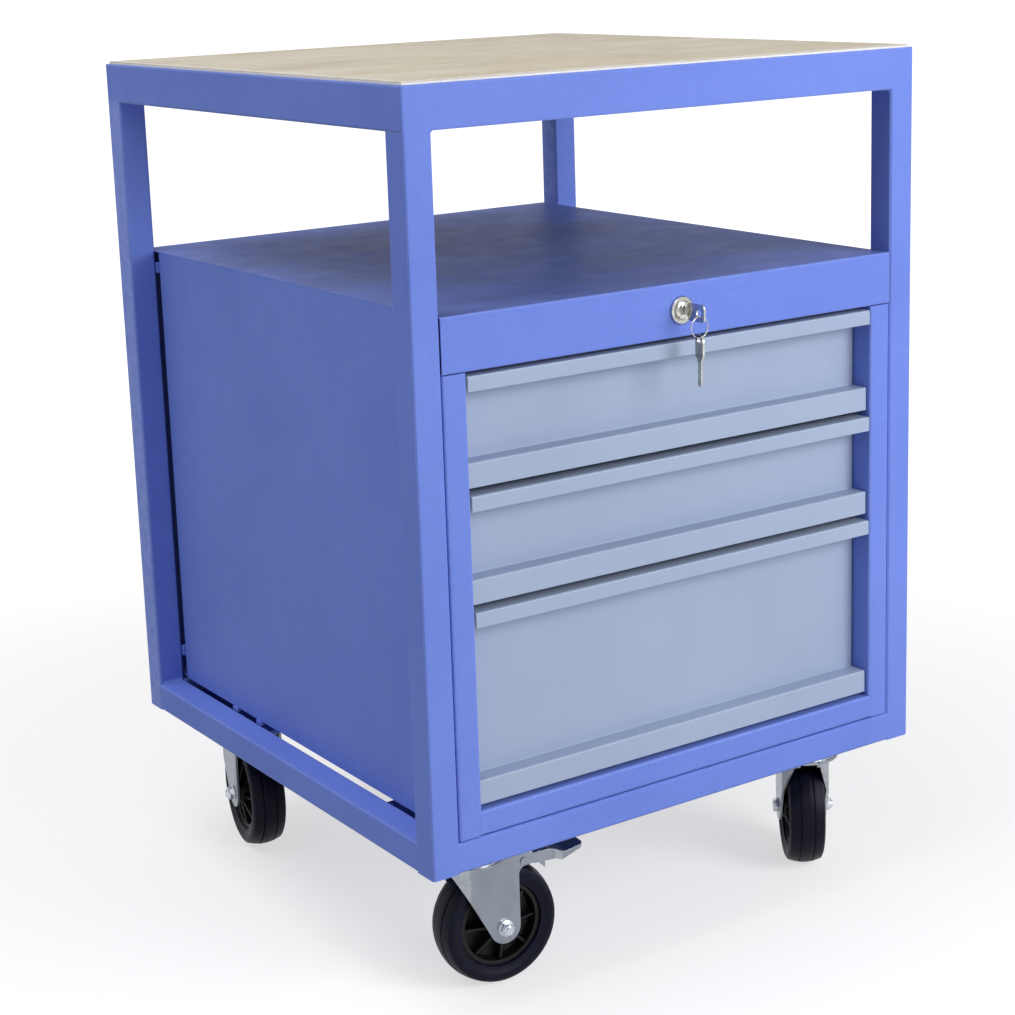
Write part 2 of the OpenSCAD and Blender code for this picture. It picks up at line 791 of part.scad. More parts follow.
module castor_plates() {
    color(zinc) for (k = [0:3]) castor_place(k) {
        difference() {
            translate([0, 0, z_plate]) linear_extrude(plate_t) round_square(plate_l, plate_w, 8);
            bolt_places() translate([0, 0, z_plate - 1]) cylinder(d = bolt_hole_d, h = plate_t + 2);
        }
        translate([0, 0, z_plate - dish_h]) cylinder(r1 = head_r - 7, r2 = head_r - 3, h = dish_h + bite);
        translate([0, 0, z_pin]) cylinder(d = king_d, h = z_plate - dish_h - z_pin + bite);
        translate([0, 0, z_pin]) cylinder(d = king_d + 8, h = z_crown - seam - z_pin);
    }
}

module castor_bolts() {
    head_h = 5.3;
    nut_h = 6.5;
    across = 13 / cos(30);
    color(zinc) for (k = [0:3]) castor_place(k) bolt_places() {
        translate([0, 0, z_plate - head_h]) cylinder(d = across, h = head_h, $fn = 6);
        translate([0, 0, z_plate - 0.1]) cylinder(d = 8, h = plate_t + corner_t + nut_h + 3);
        translate([0, 0, z_frame + corner_t]) cylinder(d = across, h = nut_h, $fn = 6);
    }
}

module at_castor(k) {
    castor_place(k) rotate([0, 0, trail_angle[k]]) children();
}

// Seen from the side: a slanted leading edge, a boss round the axle and an ear at the back
function fork_side() =
    let (nose = [-25, z_crown - 8],
         axle = [trail, z_axle],
         touch = tangent_angle(nose, axle, boss_r, 1),
         notch_r = 8)
    concat([[-head_r, z_crown + fork_t], [-head_r, z_crown - 2], nose],
           arc(axle, boss_r, touch, 360, 12),
           arc([trail + boss_r + notch_r, ear_z - notch_r], notch_r, 180, 90),
           [[ear_x - 3, ear_z], [ear_x, ear_z + 3], [ear_x, z_crown + fork_t]]);

// Seen from above: the leg runs straight beside the wheel and bends in towards the front
function fork_leg_path() =
    [[-head_r, fork_out - leg_turn_in], [leg_bend, fork_out], [ear_x + 1, fork_out]];

module across_wheel(width) {
    translate([0, width / 2, 0]) rotate([90, 0, 0]) linear_extrude(width) children();
}

module fork(k) {
    bottom = z_axle - boss_r - 1;
    color(zinc) at_castor(k) difference() {
        union() {
            intersection() {
                translate([0, 0, bottom]) linear_extrude(z_crown + fork_t - bottom)
                    for (s = [0, 1]) mirror([0, s]) polygon(folded(fork_leg_path(), fork_t, 4));
                across_wheel(2 * fork_out + 2) polygon(fork_side());
            }
            translate([0, 0, z_crown]) linear_extrude(fork_t) crown_outline();
            translate([0, 0, z_crown + fork_t - 0.1]) difference() {
                cylinder(r1 = head_r - 1, r2 = head_r - 3, h = cup_h + 0.1);
                translate([0, 0, 1]) cylinder(r = 24, h = cup_h + 1);
            }
        }
        translate([0, 0, z_crown - 1]) cylinder(d = king_d + 2 * turn_gap, h = 20);
        translate([trail, fork_out + 1, z_axle]) rotate([90, 0, 0])
            cylinder(d = axle_d + 0.2, h = 2 * fork_out + 2);
        if (k < 2) translate([pedal_pivot[0], fork_out + 1, pedal_pivot[1]]) rotate([90, 0, 0])
            cylinder(d = pedal_pin_d + 2 * turn_gap, h = 2 * fork_out + 2);
    }
}

module crown_outline() {
    circle(head_r);
    translate([0, -fork_out + 0.5]) square([ear_x - 8, 2 * fork_out - 1]);
}

// The axle bolt: a hexagon head on one side, and on the other a lock nut with its round collar
module axle(k) {
    head_h = 5.3;
    nut_h = 5.5;
    collar_h = 2.5;
    across = 1.625 * axle_d / cos(30);
    collar_d = 1.44 * axle_d;
    color(zinc) at_castor(k) translate([trail, 0, z_axle]) rotate([90, 0, 0]) {
        translate([0, 0, -fork_out - head_h]) cylinder(d = across, h = head_h, $fn = 6);
        translate([0, 0, -fork_out - bite]) cylinder(d = axle_d, h = 2 * fork_out + nut_h + collar_h + 1.5);
        cylinder(d = spacer_d, h = 2 * fork_in, center = true);
        translate([0, 0, fork_out]) {
            cylinder(d = across + 1.5, h = 1);
            cylinder(d = across, h = nut_h, $fn = 6);
            cylinder(d = collar_d, h = nut_h + collar_h - 1);
            translate([0, 0, nut_h + collar_h - 1]) cylinder(d1 = collar_d, d2 = collar_d - 2, h = 1);
        }
    }
}

// Half of the tyre's section, from the bead to the middle of the tread, as [radius, across]:
// a bulging side, a round crown and one of the two grooves between its three ribs
crown_drop = 4.5;
groove_w = 1.6;
groove_d = 1.6;
groove_at = 0.19;

function crown(r, w, t) = [r - crown_drop * t * t, t * w / 2];
function groove(r, at) =
    let (half = groove_w / 2, slope = 0.3)
    [[r - 0.8, at + half], [r - groove_d - 0.5, at + half - slope],
     [r - groove_d - 0.5, at - half + slope], [r - 0.5, at - half]];
function tyre_half(r, w) = concat(
    [[rim_r, 0.36 * w], [rim_r + 1, 0.43 * w], [rim_r + 4, 0.45 * w], [r - 12, 0.485 * w],
     [r - 9, 0.5 * w], [r - 6.5, 0.49 * w], crown(r, w, 0.9), crown(r, w, 0.76), crown(r, w, 0.6)],
    groove(r, groove_at * w),
    [[r, 0.08 * w]]);

module tyre(k) {
    half = tyre_half(wheel_d / 2, wheel_w);
    other = [for (i = [len(half) - 1:-1:0]) [half[i][0], -half[i][1]]];
    color(rubber) at_castor(k) translate([trail, 0, z_axle]) rotate([90, 0, 0])
        rotate_extrude($fn = 96) polygon(concat(half, other));
}

module rim(k) {
    hub_w = fork_in - 0.6;
    band_w = 0.36 * wheel_w;
    web = 2.5;
    bore = spacer_d / 2 + 0.06;
    spokes = 8;
    color(plastic) at_castor(k) translate([trail, 0, z_axle]) rotate([90, 0, 0]) difference() {
        union() {
            rotate_extrude($fn = 96) polygon([
                [1, -hub_w], [hub_r - 1, -hub_w], [hub_r, -hub_w + 1], [hub_r + 1.5, -web],
                [rim_r - 6, -web], [rim_r - 4, -band_w], [rim_r, -band_w],
                [rim_r, band_w], [rim_r - 4, band_w], [rim_r - 6, web], [hub_r + 1.5, web],
                [hub_r, hub_w - 1], [hub_r - 1, hub_w], [1, hub_w]]);
            for (i = [0:spokes - 1]) rotate([0, 0, i * 360 / spokes]) translate([hub_r - 2, 1.4, 0])
                rotate([90, 0, 0]) linear_extrude(2.8) polygon([
                    [0, -hub_w + 4], [rim_r - hub_r - 3, -band_w + 2],
                    [rim_r - hub_r - 3, band_w - 2], [0, hub_w - 4]]);
        }
        cylinder(r = bore, h = 3 * hub_w, center = true);
    }
}

// Brake pedal: a pressed channel that turns on a pin through the fork's ears. Seen from the
// side it dips and rises again to its tip, and seen from above it widens into the tread.
pedal_t = 1.8;
pedal_in = fork_in - 0.4;
pedal_half = pedal_in + 6;
pedal_root = [pedal_pivot[0] - 1, z_crown - 1];
pedal_high = [trail + 51, z_crown - 0.6];
pedal_dip = [trail + 67, z_crown - 4.4];
pedal_tip = [trail + 88, z_crown - 0.2];
pedal_flare = [trail + 59, trail + 64];
pedal_low = 12;
pedal_eye_r = 4.2;
tip_r = 6;
shoe_x = [trail + 36, trail + 51];

// Seen from above; inset is the distance inside the outer edge
function pedal_plan(inset, root, tip) =
    let (a = pedal_in - inset,
         b = pedal_half - inset,
         r = tip_r - inset,
         end = concat([[root, a], [pedal_flare[0], a], [pedal_flare[1], b]],
                      arc([tip - r, b - r], r, 90, 0)))
    concat(end, [for (i = [len(end) - 1:-1:0]) [end[i][0], -end[i][1]]]);

// The skirt seen from the side
function pedal_side() = [
    pedal_root, pedal_high, pedal_dip, pedal_tip + [1, 0], pedal_tip + [1, -3],
    [pedal_flare[0] + 4, z_crown - pedal_low - 0.8], [pedal_flare[0] - 22, z_crown - pedal_low],
    [pedal_pivot[0] + 3, pedal_pivot[1] - pedal_eye_r],
    [pedal_pivot[0] - 1, pedal_pivot[1] - pedal_eye_r]];

module brake_pedal(k) {
    eye_out = pedal_in - pedal_t / 2;
    color(zinc) at_castor(k) {
        intersection() {
            across_wheel(3 * pedal_half) polygon(folded(
                [pedal_root, pedal_high, pedal_dip, pedal_tip + [1, 0]], pedal_t, 1));
            linear_extrude(castor_h) polygon(pedal_plan(0, pedal_root[0] - 2, pedal_tip[0]));
        }
        intersection() {
            across_wheel(3 * pedal_half) polygon(pedal_side());
            linear_extrude(castor_h) difference() {
                polygon(pedal_plan(0, pedal_root[0] - 2, pedal_tip[0]));
                polygon(pedal_plan(pedal_t, pedal_root[0] - 9, pedal_tip[0] - pedal_t));
            }
        }
        for (s = [-1, 1]) translate([0, s * eye_out, 0])
            across_wheel(pedal_t) translate(pedal_pivot) circle(pedal_eye_r);
        translate([pedal_pivot[0], 0, pedal_pivot[1]]) rotate([90, 0, 0]) {
            cylinder(d = pedal_pin_d, h = 2 * fork_out + 1, center = true);
            for (s = [-1, 1]) translate([0, 0, s * (fork_out + 0.7)])
                cylinder(d = pedal_pin_d + 2, h = 0.8, center = true);
        }
        brake_shoe();
    }
}

// The pad under the pedal: its face follows the tyre, which it meets when the pedal is pressed
module brake_shoe() {
    gap = 7;
    low = z_crown - 26;
    high = z_crown - 2;
    across_wheel(wheel_w - 8) difference() {
        polygon([[shoe_x[0], low], [shoe_x[1], low], [shoe_x[1], high], [shoe_x[0], high]]);
        translate([trail, z_axle]) circle(wheel_d / 2 + gap);
    }
}

// The key stands out in front, so the bench is set back by half of its reach: the origin
// is then in the middle of the footprint
module placed() {
    translate([0, (key_out + hole_edge) / 2, 0]) children();
}

placed() post(-1, -1);  // post_front_left
placed() post(1, -1);  // post_front_right
placed() post(-1, 1);  // post_back_left
placed() post(1, 1);  // post_back_right
placed() rail_x(-1);  // bottom_rail_front
placed() rail_x(1);  // bottom_rail_back
placed() rail_y(-1);  // bottom_rail_left
placed() rail_y(1);  // bottom_rail_right
placed() top_angle(0);  // top_angle_front
placed() top_angle(90);  // top_angle_right
placed() top_angle(180);  // top_angle_back
placed() top_angle(270);  // top_angle_left
placed() weld_beads();
placed() corner_plates();
placed() worktop();
placed() worktop_screws();
placed() cabinet_shelf();
placed() mirror([1, 0, 0]) cabinet_side();  // cabinet_side_left
placed() cabinet_side();  // cabinet_side_right
placed() cabinet_back();
placed() cabinet_floor();
placed() slide_outer_members();
placed() castor_plates();
placed() castor_bolts();
placed() lock_barrel();
placed() lock_plug();
placed() lock_key();
placed() key_ring();
placed() locking_bar();
for (n = [1:3]) {
    placed() drawer_front(n);
    placed() drawer_tray(n);
    placed() slide_inner(n);
    placed() slide_middle(n);
}
for (k = [0:3]) {
    placed() fork(k);
    placed() axle(k);
    placed() tyre(k);
    placed() rim(k);
}
for (k = [0, 1])
    placed() brake_pedal(k);
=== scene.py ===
import json
import math

import bmesh
import bpy
from mathutils import Matrix, Vector


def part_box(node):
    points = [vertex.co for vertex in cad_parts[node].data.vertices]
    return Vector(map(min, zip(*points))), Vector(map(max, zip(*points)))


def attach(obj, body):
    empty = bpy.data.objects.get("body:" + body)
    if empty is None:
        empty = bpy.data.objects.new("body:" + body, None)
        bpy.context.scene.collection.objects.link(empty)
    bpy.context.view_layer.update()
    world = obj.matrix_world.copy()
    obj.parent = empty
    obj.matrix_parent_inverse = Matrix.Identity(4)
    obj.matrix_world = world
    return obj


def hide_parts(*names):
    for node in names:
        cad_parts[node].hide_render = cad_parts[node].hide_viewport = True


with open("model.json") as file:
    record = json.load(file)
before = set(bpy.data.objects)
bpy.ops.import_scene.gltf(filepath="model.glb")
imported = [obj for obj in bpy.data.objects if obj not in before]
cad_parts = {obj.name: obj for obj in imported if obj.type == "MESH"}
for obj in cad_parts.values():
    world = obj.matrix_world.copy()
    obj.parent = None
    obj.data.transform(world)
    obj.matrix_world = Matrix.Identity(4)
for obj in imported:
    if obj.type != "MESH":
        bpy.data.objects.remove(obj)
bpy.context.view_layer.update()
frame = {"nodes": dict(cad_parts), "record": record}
NODES = frame["nodes"]
MM = 0.001

# Camera: the photograph's angle, from a fit to the corners of the frame, in metres, degrees and pixels
CAM_AT = Vector((-1.2498, -1.8556, 1.0037))
CAM_AZ, CAM_EL, CAM_ROLL = 33.76, 12.72, -1.87
CAM_F, CAM_CX, CAM_CY, SIDE = 2143.7, 507.5, 420.0, 1015.0
SENSOR = 36.0


def make_camera():
    az, el, roll = (math.radians(v) for v in (CAM_AZ, CAM_EL, CAM_ROLL))
    ahead = Vector((math.sin(az) * math.cos(el), math.cos(az) * math.cos(el), -math.sin(el)))
    level = ahead.cross(Vector((0, 0, 1))).normalized()
    over = level.cross(ahead)
    right = level * math.cos(roll) + over * math.sin(roll)
    up = over * math.cos(roll) - level * math.sin(roll)
    data = bpy.data.cameras.new("camera")
    data.sensor_width = SENSOR
    data.lens = CAM_F * SENSOR / SIDE
    data.shift_x = (SIDE / 2 - CAM_CX) / SIDE
    data.shift_y = (CAM_CY - SIDE / 2) / SIDE
    data.clip_end = 100
    cam = bpy.data.objects.new("camera", data)
    turn = Matrix((right, up, -ahead)).transposed().to_4x4()
    turn.translation = CAM_AT
    cam.matrix_world = turn
    bpy.context.scene.collection.objects.link(cam)
    bpy.context.scene.camera = cam


make_camera()


# Node trees
def feed(tree, socket, value):
    """Gives an input a value, or a link where the value is another node's output."""
    if isinstance(value, bpy.types.NodeSocket):
        tree.links.new(value, socket)
    else:
        socket.default_value = value


def node(tree, kind, *values, **named):
    """A new node. Plain values go to its inputs in their order, named ones to a setting or an input."""
    n = tree.nodes.new("ShaderNode" + kind)
    for key, value in named.items():
        if hasattr(n, key):
            setattr(n, key, value)
        else:
            feed(tree, n.inputs[key], value)
    for socket, value in zip(n.inputs, values):
        feed(tree, socket, value)
    return n


def srgb(text):
    """A hex colour as linear values, by the sRGB curve."""
    out = []
    for i in (0, 2, 4):
        c = int(text[i:i + 2], 16) / 255
        out.append(c / 12.92 if c <= 0.04045 else ((c + 0.055) / 1.055) ** 2.4)
    return (*out, 1.0)


def grey(level):
    return (level, level, level, 1)


class Mat:
    """A small helper that builds a node material in the object's own coordinates.

    A noise's scale is in waves per metre, and a bump's distance is in metres."""

    def __init__(self, name, **values):
        self.material = bpy.data.materials.new(name)
        self.material.use_nodes = True
        self.tree = self.material.node_tree
        self.shader = self.tree.nodes["Principled BSDF"]
        self.co = self.node("TexCoord").outputs["Object"]
        for key, value in values.items():
            self.set(key.replace("_", " "), value)

    def set(self, name, value):
        feed(self.tree, self.shader.inputs[name], value)

    def node(self, kind, *values, **named):
        return node(self.tree, kind, *values, **named)

    def calc(self, operation, *values):
        return self.node("Math", *values, operation=operation).outputs[0]

    def parts(self, vector):
        """The x, y and z of a vector."""
        return list(self.node("SeparateXYZ", vector).outputs)

    def facing_up(self):
        """How far the surface faces up in the world, -1 to 1."""
        return self.parts(self.node("NewGeometry").outputs["Normal"])[2]

    def scaled(self, x, y, z):
        return self.node("Mapping", Vector=self.co, Scale=(x, y, z)).outputs[0]

    def noise(self, scale, detail=3.0, rough=0.5, co=None, distortion=0.0):
        return self.node("TexNoise", Vector=co or self.co, Scale=scale, Detail=detail,
                         Roughness=rough, Distortion=distortion).outputs["Fac"]

    def spread(self, value, a, b, low=0.0, high=1.0):
        """A value's range from a to b, stretched to the range from low to high and cut off there."""
        return self.node("MapRange", value, a, b, low, high).outputs[0]

    def mix(self, share, a, b, kind="MIX"):
        """Two colours mixed: a where the share is 0, b where it is 1."""
        n = self.node("Mix", data_type="RGBA", blend_type=kind)
        for number, value in ((0, share), (6, a), (7, b)):
            feed(self.tree, n.inputs[number], value)
        return n.outputs[2]

    def bump(self, height, distance, strength=1.0, below=None):
        """A normal from a height; a second bump below it adds to it."""
        n = self.node("Bump", Height=height, Distance=distance, Strength=strength)
        if below is not None:
            feed(self.tree, n.inputs["Normal"], below)
        return n.outputs[0]


# Pale edges start where the largest part of a normal falls below the first value, and are full at the second;
# on paint they are partly wear and partly a painted highlight
ALONG_AXIS, ON_EDGE = 0.96, 0.74
# Width of a bar's shaded edge, and how deep it falls away there
EDGE_BAND, EDGE_DROP = 0.0024, 0.0009
# Shares of pale colour on the edges of paint (worn paint and a painted highlight) and of metal (worn metal),
# and metal's worn colour
PAINT_WEAR_AND_HIGHLIGHT, METAL_WEAR = 0.55, 0.5
METAL_WORN = (0.75, 0.77, 0.8, 1)


def edge_mask(m):
    """Up to 1 on rounded edges, 0 on faces that lie along one of the piece's axes; broken up by noise."""
    own = m.node("TexCoord").outputs["Normal"]
    x, y, z = m.parts(m.node("VectorMath", own, operation="ABSOLUTE").outputs[0])
    most = m.calc("MAXIMUM", m.calc("MAXIMUM", x, y), z)
    rag = m.spread(m.noise(130.0, 4.0, 0.7), 0.42, 0.62, 0.4, 1.0)
    return m.calc("MULTIPLY", m.spread(most, ALONG_AXIS, ON_EDGE), rag)


def inside(m, value, low, high):
    """Distance from the nearer of two planes, 0 on each and more between them."""
    off = m.calc("ABSOLUTE", m.calc("SUBTRACT", value, (low + high) / 2))
    return m.calc("SUBTRACT", (high - low) / 2, off)


def bar_edge(m, section, posts=None):
    """Distance in metres from the nearest long edge of a bar.

    The section gives each axis across the bar and the bar's two planes on it, mirrored to the plus
    side. Posts give the axis along the bar and where they start on it: over them, a bar's lower edge
    runs on into them and doesn't count."""
    at = m.parts(m.co)
    gaps = []
    for axis, low, high in section:
        away = m.calc("ABSOLUTE", at[axis])
        gap = inside(m, away, low, high)
        if posts and axis == 2:
            run, start = posts
            over = m.calc("GREATER_THAN", m.calc("ABSOLUTE", at[run]), start)
            more = m.calc("SUBTRACT", m.calc("SUBTRACT", high, away), gap)
            gap = m.calc("MULTIPLY_ADD", over, more, gap)
        gaps.append(gap)
    return m.calc("MAXIMUM", *gaps)


# The third tone of each is the pale edge: partly worn paint, partly a painted highlight of the rounded edge
BLUE_TONES = ("6C83D7", "748BDF", "9CAEF0")
GREY_TONES = ("9BA9C4", "A1AFC9", "C2CBDB")


def powder_coat(name, dark, light, worn_and_highlit, fleck=0.025, rough=0.46, grain=300.0, depth=0.00009, gloss=0.06,
                section=None, posts=None, painted_shade=None):
    """Powder coat: an orange-peel skin, faint clouds in the colour, paler on the edges: thinner paint there,
    and a painted highlight of the rounded edge.

    A bar's long edges are shaded round, and its welded ends are left flush. A painted shade darkens what
    faces up, in patches."""
    m = Mat(name, Specular_IOR_Level=gloss)
    cloud = m.spread(m.noise(6.0, 4.0, 0.6), 0.3, 0.7)
    tone = m.mix(cloud, srgb(dark), srgb(light))
    peel = m.noise(grain, 2.0, 0.45)
    speck = m.mix(m.spread(peel, 0.35, 0.65), grey(1 - fleck), grey(1 + fleck))
    tone = m.mix(1.0, tone, speck, "MULTIPLY")
    # Painted shade: a dark film in patches on what faces up, for the shade on the shelf under the worktop
    if painted_shade:
        shade_film = m.spread(m.noise(5.0, 5.0, 0.65, m.scaled(1.0, 1.6, 1.0)), 0.34, 0.66, 0.16, 0.56)
        shade_film = m.calc("MULTIPLY", shade_film, m.spread(m.facing_up(), 0.8, 0.95))
        tone = m.mix(shade_film, tone, srgb(painted_shade))
    skin = m.bump(m.noise(18.0, 2.0), 0.0004, 0.12)
    # Along a bar's long edges: a bump that shades them round, and a pale band that is partly thinner paint
    # and partly a painted highlight
    if section:
        fall = m.calc("POWER", m.spread(bar_edge(m, section, posts), 0.0, EDGE_BAND, 1.0, 0.0), 2.0)
        rag = m.spread(m.noise(90.0, 4.0, 0.7), 0.38, 0.62, 0.35, 1.0)
        edge = m.calc("MULTIPLY", fall, rag)
        skin = m.bump(m.calc("MULTIPLY", fall, -1.0), EDGE_DROP, below=skin)
    else:
        edge = edge_mask(m)
    # Pale edges: worn paint and a painted highlight, mixed into the colour
    m.set("Base Color", m.mix(m.calc("MULTIPLY", edge, PAINT_WEAR_AND_HIGHLIGHT), tone, srgb(worn_and_highlit)))
    m.set("Roughness", m.spread(m.noise(40.0, 3.0), 0.25, 0.75, rough - 0.05, rough + 0.06))
    m.set("Normal", m.bump(peel, depth, 0.6, skin))
    return m.material


# The board's pale rim, narrowest and widest, and how far down from its face the pale lip goes
RIM_NARROW, RIM_WIDE = 0.0014, 0.0068
LIP_FULL, LIP_END = 0.008, 0.010


def board_edge(m, box):
    """Distance in metres from the nearest long edge of the board."""
    (x0, y0, _), (x1, y1, _) = box
    x, y, _ = m.parts(m.co)
    return m.calc("MINIMUM", inside(m, x, x0, x1), inside(m, y, y0, y1))


def plywood():
    """The worn, greyed face of a plywood board, with a pale chipped rim."""
    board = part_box("worktop")
    m = Mat("plywood", Specular_IOR_Level=0.3)
    fibre = m.noise(34.0, 7.0, 0.62, m.scaled(1.0, 16.0, 1.0), 0.5)
    bands = m.noise(3.2, 4.0, 0.6, m.scaled(1.0, 2.6, 1.0), 0.8)
    blotch = m.noise(11.0, 5.0, 0.65)
    tone = m.mix(m.spread(fibre, 0.3, 0.72), srgb("A5987F"), srgb("C8C0B0"))
    tone = m.mix(m.spread(bands, 0.42, 0.68), tone, srgb("C3BDAF"))
    tone = m.mix(m.spread(blotch, 0.55, 0.75, 0.0, 0.55), tone, srgb("A39B8C"))
    # Dark dents, few and short
    pit = m.spread(m.noise(95.0, 3.0, 0.5), 0.27, 0.24, 0.0, 0.6)
    tone = m.mix(pit, tone, srgb("7E7566"))
    ragged = m.spread(m.noise(150.0, 4.0, 0.7), 0.3, 0.7, RIM_NARROW, RIM_WIDE)
    rim = m.calc("LESS_THAN", board_edge(m, board), ragged)
    face = m.mix(m.calc("MULTIPLY", rim, 0.85), tone, srgb("ECE9E1"))
    # The board's edge shows its plies, below a pale lip
    layer = m.node("TexWave", Vector=m.co, Scale=55.0, Distortion=0.6, wave_type="BANDS", bands_direction="Z")
    plies = m.mix(m.spread(layer.outputs["Fac"], 0.42, 0.58), srgb("A08A66"), srgb("CBB993"))
    pale = m.mix(m.spread(m.noise(120.0, 4.0, 0.7), 0.3, 0.7), srgb("DDD9CF"), srgb("F6F4EF"))
    high = board[1][2]
    lip = m.spread(m.parts(m.co)[2], high - LIP_END, high - LIP_FULL)
    flat = m.spread(m.calc("ABSOLUTE", m.facing_up()), 0.3, 0.4)
    m.set("Base Color", m.mix(flat, m.mix(lip, plies, pale), face))
    m.set("Roughness", m.spread(blotch, 0.3, 0.7, 0.55, 0.75))
    m.set("Normal", m.bump(fibre, 0.0003, 0.5))
    return m.material


def metal(name, dark, light, rough, grain=0.00002, cloud=26.0):
    """Plated metal: patches of two tones, paler on the edges, with a faint wave and a fine grain."""
    m = Mat(name, Metallic=1.0)
    tone = m.mix(m.spread(m.noise(cloud, 3.0, 0.5), 0.3, 0.7), srgb(dark), srgb(light))
    wear = m.calc("MULTIPLY", edge_mask(m), METAL_WEAR)
    m.set("Base Color", m.mix(wear, tone, METAL_WORN))
    m.set("Roughness", m.spread(m.noise(70.0, 3.0), 0.25, 0.75, rough - 0.04, rough + 0.05))
    wave = m.bump(m.noise(30.0, 1.5), 0.0009, 0.35)
    m.set("Normal", m.bump(m.noise(700.0, 3.0), grain, 0.5, wave))
    return m.material


def rubber():
    """Solid rubber: deep blue-black, satin, with faint moulding marks."""
    m = Mat("rubber", Specular_IOR_Level=0.12)
    dust = m.noise(70.0, 5.0, 0.65)
    m.set("Base Color", m.mix(m.spread(dust, 0.42, 0.85), srgb("090A18"), srgb("13152F")))
    m.set("Roughness", m.spread(dust, 0.3, 0.7, 0.38, 0.52))
    m.set("Normal", m.bump(m.noise(900.0, 2.0), 0.00004, 0.4))
    return m.material


def plastic():
    """Moulded black plastic, dull in patches."""
    m = Mat("black_plastic", Specular_IOR_Level=0.25)
    dull = m.noise(40.0)
    m.set("Base Color", m.mix(m.spread(dull, 0.3, 0.7), srgb("060709"), srgb("0C0D10")))
    m.set("Roughness", m.spread(dull, 0.3, 0.7, 0.4, 0.5))
    m.set("Normal", m.bump(m.noise(1100.0, 2.0), 0.00004, 0.5))
    return m.material


# The finish of each slot of the record, and the finishes of single pieces
NICKEL = metal("nickel", "A5A5A0", "C9C8C2", 0.13, 0.000008, 160.0)
ZINC = metal("zinc", "848A94", "9399A3", 0.3)
BY_SLOT = {"blue_paint": powder_coat("blue_powder_coat", *BLUE_TONES),
           "grey_paint": powder_coat("grey_powder_coat", *GREY_TONES, fleck=0.008, rough=0.4, grain=420.0,
                                     depth=0.00005, gloss=0.25),
           "plywood": plywood(), "zinc": ZINC, "nickel": NICKEL, "rubber": rubber(), "plastic": plastic()}
# The shelf's coat, with painted shade on what faces up
SHELF_COAT_SHADED = powder_coat("blue_powder_coat_shelf_painted_shade", *BLUE_TONES, gloss=0.03, painted_shade="474C63")
BOLT_ZINC = metal("zinc_bolts", "AEB4BE", "CDD2DA", 0.2, cloud=90.0)
BARS = ("post_", "bottom_rail_", "top_angle_")
BAR_COATS = {}

# Small roundings that catch the light on folded, sawn and stamped edges, in metres, and pieces without
ROUND = {"blue_paint": 0.0004, "grey_paint": 0.0004, "plywood": 0.0008, "zinc": 0.0003,
         "nickel": 0.0002, "plastic": 0.0004}
SHARP = ("weld_beads", "key_ring", "cabinet_floor")


def bar_coat(name):
    """The blue coat with round long edges, one for each kind and direction of bar; None for other nodes."""
    kind = next((k for k in BARS if name.startswith(k)), None)
    if not kind:
        return None
    low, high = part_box(name)
    size = [b - a for a, b in zip(low, high)]
    run = size.index(max(size))
    if (kind, run) not in BAR_COATS:
        section = [(axis, *sorted((abs(low[axis]), abs(high[axis])))) for axis in range(3) if axis != run]
        left, right = (v[0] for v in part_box("post_front_left"))
        posts = (run, high[run] - (right - left)) if kind == "top_angle_" else None
        coat = "blue_powder_coat_" + kind + "xyz"[run]
        BAR_COATS[kind, run] = powder_coat(coat, *BLUE_TONES, section=section, posts=posts)
    return BAR_COATS[kind, run]


def finish(name, slot):
    """The material of a CAD node."""
    if name == "cabinet_shelf":
        return SHELF_COAT_SHADED
    if name.startswith("axle_"):
        return BOLT_ZINC
    return bar_coat(name) or BY_SLOT[slot]


def round_edges(ob, width):
    """Rounds a piece's edges, after it has joined the faces that come with corners of their own."""
    weld = ob.modifiers.new("join", "WELD")
    weld.merge_threshold = 0.00001
    bevel = ob.modifiers.new("edges", "BEVEL")
    bevel.width = width
    bevel.segments = 2
    bevel.limit_method = "ANGLE"
    bevel.angle_limit = math.radians(40)
    bevel.use_clamp_overlap = False
    bevel.harden_normals = True


for part in frame["record"]["subparts"]:
    name, slot = part["node"], part["material_slot"]
    NODES[name].data.materials.clear()
    NODES[name].data.materials.append(finish(name, slot))
    if slot in ROUND and name not in SHARP and not name.startswith(BARS):
        round_edges(NODES[name], ROUND[slot])


# Pieces that take the place of CAD nodes, and the spare key
def piece(name, data, body, material):
    """A new piece that rides on a body, with the finish it is given."""
    ob = bpy.data.objects.new(name, data)
    ob.data.materials.append(material)
    bpy.context.scene.collection.objects.link(ob)
    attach(ob, body)
    return ob


def circle(x, y, radius, n, way=1):
    """The n points of a circle, counter-clockwise, or clockwise where the way is -1."""
    angles = [2 * math.pi * i / n for i in range(n)]
    return [(x + radius * math.cos(a), y + way * radius * math.sin(a)) for a in angles]


def add_line(curve, points, closed):
    line = curve.splines.new("POLY")
    line.points.add(len(points) - 1)
    for p, at in zip(line.points, points):
        p.co = (*at, 1)
    line.use_cyclic_u = closed


